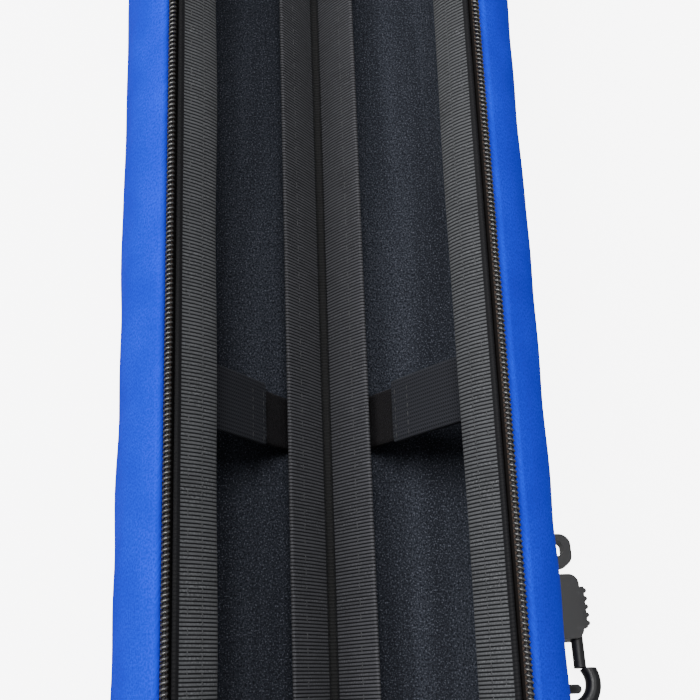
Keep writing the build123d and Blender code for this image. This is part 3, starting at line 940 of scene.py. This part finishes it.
def paint_hardware():
    """Hooks, rings, tabs, sliders, pulls and stops."""
    for end in ENDS:
        paint(f"ring_tab_{end}", TAB_WEB)
        paint(f"strap_ring_{end}", RING_PLASTIC)
        paint(f"hook_body_{end}", HOOK_PLASTIC)
        paint(f"hook_swivel_{end}", HOOK_PLASTIC)
        paint(f"hook_latch_{end}", LATCH_PLASTIC)
        paint(f"zip_slider_{end}", ZIP_METAL)
        paint(f"zip_pull_{end}", ZIP_METAL)
    for side in SIDES:
        paint(f"{side}_zip_stops", ZIP_METAL)


# ---- stage ----
def make_camera():
    """Camera close above the near half of the case, looking along it and down."""
    place = Vector((spine_x - 18.4, -331.6, 343.9)) * MM
    elevation, yaw, roll, lens = math.radians(72.0), math.radians(14.0), math.radians(12.54), 57.8
    forward = Vector((math.sin(yaw) * math.cos(elevation), math.cos(yaw) * math.cos(elevation),
                      -math.sin(elevation)))
    level = Vector((math.cos(yaw), -math.sin(yaw), 0.0))
    upright = level.cross(forward)
    right = level * math.cos(roll) + upright * math.sin(roll)
    up = upright * math.cos(roll) - level * math.sin(roll)
    data = bpy.data.cameras.new("camera")
    data.lens, data.sensor_width = lens, 36.0
    data.clip_start, data.clip_end = 0.02, 20.0
    camera = bpy.data.objects.new("camera", data)
    bpy.context.collection.objects.link(camera)
    turn = Matrix((right, up, -forward)).transposed().to_4x4()
    camera.matrix_world = Matrix.Translation(place) @ turn
    bpy.context.scene.camera = camera


def area_light(name, place, target, size, power):
    """A square soft light aimed at a point."""
    data = bpy.data.lights.new(name, "AREA")
    data.size, data.energy = size, power
    light = bpy.data.objects.new(name, data)
    light.location = place
    light.rotation_euler = (Vector(target) - Vector(place)).to_track_quat("-Z", "Y").to_euler()
    bpy.context.collection.objects.link(light)


def make_stage():
    """Glowing white floor, soft key light from the far left, a small top light and a weak fill."""
    size = 6.0
    mesh = bpy.data.meshes.new("floor")
    mesh.from_pydata([(-size, -size, 0), (size, -size, 0), (size, size, 0), (-size, size, 0)], [],
                     [(0, 1, 2, 3)])
    mesh.materials.append(floor_material())
    floor = bpy.data.objects.new("floor", mesh)
    floor.location.z = -0.0003
    bpy.context.collection.objects.link(floor)
    floor.visible_diffuse = floor.visible_glossy = False
    area_light("key", (-1.5, 0.5, 1.9), (0, -0.1, 0), 1.6, 72)
    area_light("top", (-0.05, 0.0, 1.3), (0, 0, 0), 0.5, 17)
    area_light("fill", (1.4, -1.2, 1.6), (0, 0, 0), 2.0, 2)
    world = bpy.data.worlds.new("world")
    bpy.context.scene.world = world
    world.use_nodes = True
    background = world.node_tree.nodes["Background"]
    background.inputs["Color"].default_value = (1.0, 1.0, 1.0, 1.0)
    background.inputs["Strength"].default_value = 0.5


make_camera()
for side in SIDES:
    make_shell(side)
    make_lining(side)
    make_tape(side)
    make_coil(side)
    make_zip_ribbon(side)
    make_zip_stitches(side)
    make_spine_ribbon(side)
    make_sewn_ends(side)
    make_patches(side)
    for number in STRAPS:
        make_strap(side, number)
make_hinge()
for end in ENDS:
    make_tab_stitches(end)
paint_hardware()
make_stage()
